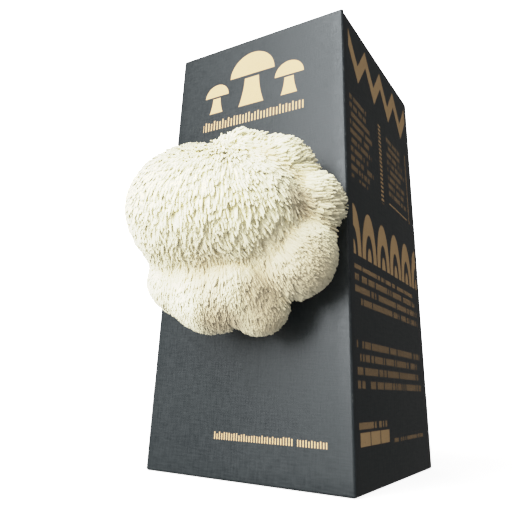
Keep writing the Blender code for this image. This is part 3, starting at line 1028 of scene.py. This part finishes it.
def right_print(y, z):
    """Tan print on the right side: two bold bands, rows of small bars, lines and boxes."""
    marks = [zigzag(y, z), arches(y, z)]
    for *area, strength in SMALL_PRINT:
        marks.append((rows_of_bars(y, z, *area) * strength).least(1))
    dots = z.repeat(2.2).within(0.2, 0.7, 0.05)
    marks.append(y.within(-7.2, -3.6) * z.within(118, 161) * dots)
    marks.append(y.within(38.6, 39.4) * z.within(120, 161))
    marks.append(y.within(4.6, 34.3) * z.within(120.6, 121.3))
    boxes = (y + 44).repeat(10.9).within(0.0, 0.93, 0.02)
    marks.append(y.within(-44.0, -12.0) * z.within(15.2, 19.8) * boxes)
    return reduce(Tone.most, marks)


def charcoal_board(name, printed):
    """Laminated charcoal board: fine linen streaks, tan print and scuffed folds."""
    finish = Finish(name, specular_ior_level=0.5)
    x, y, z = finish.axes()
    level = finish.noise((0.2, 0.2, 1.4), 2.0)
    upright = finish.noise((1.4, 1.4, 0.2), 2.0)
    cloud = finish.noise(0.03)
    linen = (level + upright) * 0.5
    tint = (linen - 0.5) * 3.2 + (cloud - 0.5) * 0.8 + 0.5
    colour = finish.mix(tint, (0.0076, 0.0104, 0.0118), (0.0142, 0.0183, 0.0202))
    roughness = 0.4 + (linen - 0.5) * 0.4 + (cloud - 0.5) * 0.12
    if printed:
        on_front = 1 - y.rise(FRONT + 0.3, FRONT + 0.6)
        on_right = x.rise(SIDE - 0.6, SIDE - 0.3)
        ink = front_print(x, z) * on_front
        ink = ink.most(right_print(y, z) * on_right)
        patchy = finish.noise(1.6, 2.0).rise(0.2, 0.45) * 0.25 + 0.75
        ink = ink * patchy
        tan = finish.mix(cloud, (0.47, 0.29, 0.135), (0.53, 0.34, 0.165))
        colour = finish.mix(ink, colour, tan)
        roughness = roughness + ink * 0.25
    corner_x = abs(x).rise(SIDE - 0.5, SIDE - 0.1)
    corner_y = abs(y).rise(BACK - 0.5, BACK - 0.1)
    low = 1 - z.rise(0.1, 0.6)
    folds = (corner_x * corner_y).most(low * corner_x).most(low * corner_y)
    rubbed = finish.noise((0.9, 0.9, 0.35), 4.0, 0.7).rise(0.55, 0.72)
    colour = finish.mix(folds * rubbed * 0.55, colour, (0.34, 0.34, 0.33))
    finish.bump(linen, 0.045)
    return finish.set(base_color=colour, roughness=roughness)


def plain_board(name, light, dark):
    """The uncoated side of the board: pale pulp with darker flecks of fibre."""
    finish = Finish(name, specular_ior_level=0.25)
    pulp = finish.noise(0.9, 5.0, 0.7)
    fibre = finish.noise((2.4, 0.35, 2.4), 4.0, 0.65)
    flecks = finish.noise(1.9, 2.0).rise(0.66, 0.74)
    colour = finish.mix(pulp * 0.6 + fibre * 0.4, dark, light)
    colour = finish.mix(flecks * 0.5, colour, tuple(0.5 * value for value in dark))
    finish.bump(fibre * 0.6 + pulp * 0.4, 0.08)
    return finish.set(base_color=colour, roughness=0.82 + fibre * 0.1)


def cream_spines(name):
    """Spines: cream tips, paler and warmer at the root as painted light in the shaded gaps, and
    painted tan shade in the creases, on undersides and at set places.
    """
    sheen = {"sheen_weight": 0.3, "sheen_roughness": 0.6, "sheen_tint": (1.0, 0.97, 0.86, 1.0)}
    finish = Finish(name, specular_ior_level=0.3, **sheen)
    along, tone, valley, under = map(finish.stored, ("along", "tone", "valley", "under"))
    patch = finish.noise(0.07)
    warm = finish.noise(0.16, 2.0).rise(0.4, 0.7)
    white = finish.mix(tone, (0.915, 0.85, 0.575), (0.955, 0.90, 0.64))
    white = finish.mix(patch * 0.4, white, (0.915, 0.85, 0.55))
    # Paler and warmer at the root: the paler root is painted light that lifts the shade in the
    # gaps between spines
    root = finish.mix(tone, (0.985, 0.915, 0.59), (0.99, 0.935, 0.65))
    colour = finish.mix(along.rise(0.15, 0.75), root, white)
    # Tan painted as shade deep in the creases between lobes, strongest towards the roots
    painted_crease_shade = valley.rise(0.15, 0.7) * (0.45 + warm * 0.4) * (1 - along * 0.25)
    colour = finish.mix(painted_crease_shade, colour, (0.72, 0.56, 0.31))
    # Darker olive painted as shade on the spines that face down
    colour = finish.mix(under.rise(0.2, 1.0) * 0.8, colour, (0.72, 0.66, 0.46))
    # Darker tan painted as shade at the listed places on the lower lobes and in creases
    for place, size, strength in PAINTED_SHADE_PLACES:
        away = finish.on_vectors("DISTANCE", finish.spot, place, "Value")
        painted_shade = 1 - away.rise(0.3 * size, size)
        colour = finish.mix(painted_shade * strength, colour, (0.49, 0.405, 0.26))
    return finish.set(base_color=colour, roughness=0.62 - along * 0.12)


def cream_flesh(name):
    """Flesh between the spine roots: warm cream, with tan painted as shade in the creases."""
    finish = Finish(name, specular_ior_level=0.3)
    valley = finish.stored("valley")
    grain = finish.noise(1.2, 4.0, 0.65)
    patch = finish.noise(0.1)
    colour = finish.mix(grain, (0.96, 0.89, 0.62), (0.98, 0.93, 0.70))
    # Tan painted as shade in the creases, in patches
    colour = finish.mix(valley.rise(0.3, 0.9) * patch, colour, (0.70, 0.57, 0.36))
    finish.bump(grain, 0.3)
    return finish.set(base_color=colour, roughness=0.7 + grain * 0.1)


def clear_film(name):
    """Clear bag film, a little cloudy, with paler creases."""
    finish = Finish(name, specular_ior_level=0.6)
    crease = abs(finish.noise(0.28, 3.0, 0.6) - 0.5)
    line = 1 - crease.rise(0.0, 0.035)
    cloud = finish.noise(0.06, 2.0)
    colour = finish.mix(line, (0.80, 0.82, 0.81), (0.93, 0.94, 0.93))
    finish.bump(line, 0.12)
    alpha = 0.2 + line * 0.35 + cloud * 0.12
    return finish.set(base_color=colour, alpha=alpha, roughness=0.16 + cloud * 0.12)


def colonised_sawdust(name):
    """Damp sawdust bound by white threads, with darker chips showing through."""
    finish = Finish(name, specular_ior_level=0.3)
    inputs = {"Vector": finish.spot, "Scale": 0.55}
    chip = finish.tone("ShaderNodeTexVoronoi", {"feature": "F1"}, inputs, "Distance")
    grain = finish.noise(0.8, 5.0, 0.7)
    threads = finish.noise(0.09, 5.0, 0.6).rise(0.36, 0.62)
    wood = finish.mix(grain, (0.36, 0.23, 0.12), (0.66, 0.50, 0.31))
    wood = finish.mix(chip.rise(0.1, 0.7), wood, (0.25, 0.15, 0.08))
    colour = finish.mix(threads * (0.55 + grain * 0.45), wood, (0.86, 0.83, 0.76))
    finish.bump(chip * 0.5 + grain * 0.5, 0.7)
    return finish.set(base_color=colour, roughness=0.85 + grain * 0.1)


def make_floor():
    """A wide pale floor, kept white by its own glow and unseen by the object."""
    bm = bmesh.new()
    bmesh.ops.create_circle(bm, cap_ends=True, segments=96, radius=9000)
    finish = Finish("pale_floor", roughness=0.75, specular_ior_level=0.2)
    shade = finish.noise(0.004, 2.0)
    colour = finish.mix(shade, (0.90, 0.90, 0.895), (0.93, 0.93, 0.925))
    finish.set(emission_color=(1.0, 1.0, 1.0, 1.0), emission_strength=FLOOR_GLOW)
    floor = settle(bm, "floor", finish.set(base_color=colour))
    floor.location.z = -0.0002
    floor.visible_glossy = floor.visible_diffuse = floor.visible_shadow = False


def add_lamp(name, kind, towards, settings):
    """A soft light, shining from the direction given at the middle of the object."""
    data = bpy.data.lights.new(name, kind)
    for label, value in settings.items():
        setattr(data, label, value)
    lamp = link_object(name, data)
    towards = Vector(towards)
    lamp.location = AIM + towards
    lamp.rotation_euler = towards.to_track_quat("Z", "Y").to_euler()
    lamp.visible_glossy = kind == "AREA"


def light_room():
    """A soft room, brighter at the front left, dim in reflections, white to the camera."""
    world = bpy.data.worlds.new("surround")
    world.use_nodes = True
    nodes = Nodes(world.node_tree)
    shown = nodes.tree.nodes["Background"]
    nodes.feed(shown.inputs["Color"], (1.0, 1.0, 1.0, 1.0))
    nodes.feed(shown.inputs["Strength"], 2 * BRIGHTEST)
    way = nodes.tone("ShaderNodeTexCoord", output="Generated")
    slope = nodes.on_vectors("DOT_PRODUCT", way, BRIGHT_SIDE, "Value")
    ends = {"From Min": -0.6, "From Max": 1.0, "To Min": 0.05, "To Max": 1.7}
    strength = nodes.tone("ShaderNodeMapRange", (), {"Value": slope, **ends})
    soft, dim = (
        nodes.node("ShaderNodeBackground", (), {"Color": ROOM_LIGHT, "Strength": level})
        for level in (strength, REFLECTED_ROOM)
    )
    ray = nodes.node("ShaderNodeLightPath")
    seen = Tone(nodes, soft.outputs[0])
    for kind, other in (("Is Glossy Ray", dim), ("Is Camera Ray", shown)):
        inputs = {0: Tone(nodes, ray.outputs[kind]), 1: seen, 2: Tone(nodes, other.outputs[0])}
        seen = nodes.tone("ShaderNodeMixShader", (), inputs)
    nodes.feed(nodes.tree.nodes["World Output"].inputs[0], seen)
    bpy.context.scene.world = world
    bpy.context.scene.cycles.diffuse_bounces = 8


def press_bright_light():
    """The shoulder of the tone curve."""
    view = bpy.context.scene.view_settings
    view.view_transform = "Standard"
    view.use_curve_mapping = True
    view.curve_mapping.white_level = [BRIGHTEST] * 3
    curve = view.curve_mapping.curves[3]
    for light, shown in SHOULDER:
        curve.points.new(light / BRIGHTEST, shown)
    view.curve_mapping.update()


def place_camera():
    """The camera where the photograph was taken from: low, in front and to the right."""
    data = bpy.data.cameras.new("camera")
    data.lens = CAMERA_LENS
    data.sensor_width = 36.0
    data.shift_x, data.shift_y = CAMERA_SHIFT
    data.clip_start = 0.001
    camera = link_object("camera", data)
    camera.location = CAMERA_PLACE
    camera.rotation_euler = [math.radians(turn) for turn in CAMERA_TURN_DEG]
    bpy.context.scene.camera = camera


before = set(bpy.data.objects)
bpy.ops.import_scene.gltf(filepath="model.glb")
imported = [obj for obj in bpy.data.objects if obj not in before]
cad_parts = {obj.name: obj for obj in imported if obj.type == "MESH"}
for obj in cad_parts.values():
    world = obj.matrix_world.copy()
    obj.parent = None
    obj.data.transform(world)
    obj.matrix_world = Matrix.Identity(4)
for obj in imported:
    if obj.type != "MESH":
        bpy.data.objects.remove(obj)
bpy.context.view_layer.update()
place_camera()
for light in LIGHTS:
    add_lamp(*light)
light_room()
press_bright_light()
make_floor()

inner = plain_board("plain_board", (0.64, 0.62, 0.57), (0.50, 0.47, 0.42))
cut_edge = plain_board("cut_board_edge", (0.46, 0.44, 0.40), (0.30, 0.28, 0.25))
printed = [charcoal_board("charcoal_board", True), inner, cut_edge]
unprinted = [charcoal_board("charcoal_board_plain", False), inner, cut_edge]
film = clear_film("clear_film")

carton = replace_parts(make_carton(printed), "carton")
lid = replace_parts(make_lid(unprinted), "carton_lid")
lid_fold = make_lid_fold(unprinted)
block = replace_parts(make_block(colonised_sawdust("colonised_sawdust")), "substrate_block")
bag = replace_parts(make_bag(film), "grow_bag")
bag_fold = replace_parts(make_bag_fold(film), "grow_bag")
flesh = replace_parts(make_flesh(cream_flesh("cream_flesh")), "lions_mane")
spines = make_spines(cream_spines("cream_spines"))

for piece, slot in [
    (carton, "charcoal_board"),
    (block, "colonised_sawdust"),
    (bag, "clear_film"),
    (bag_fold, "clear_film"),
    (flesh, "cream_flesh"),
    *((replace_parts(piece, "lions_mane"), "cream_flesh") for piece in spines),
]:
    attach(piece, "kit")
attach(lid, "lid")
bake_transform(lid_fold)

bpy.context.view_layer.update()
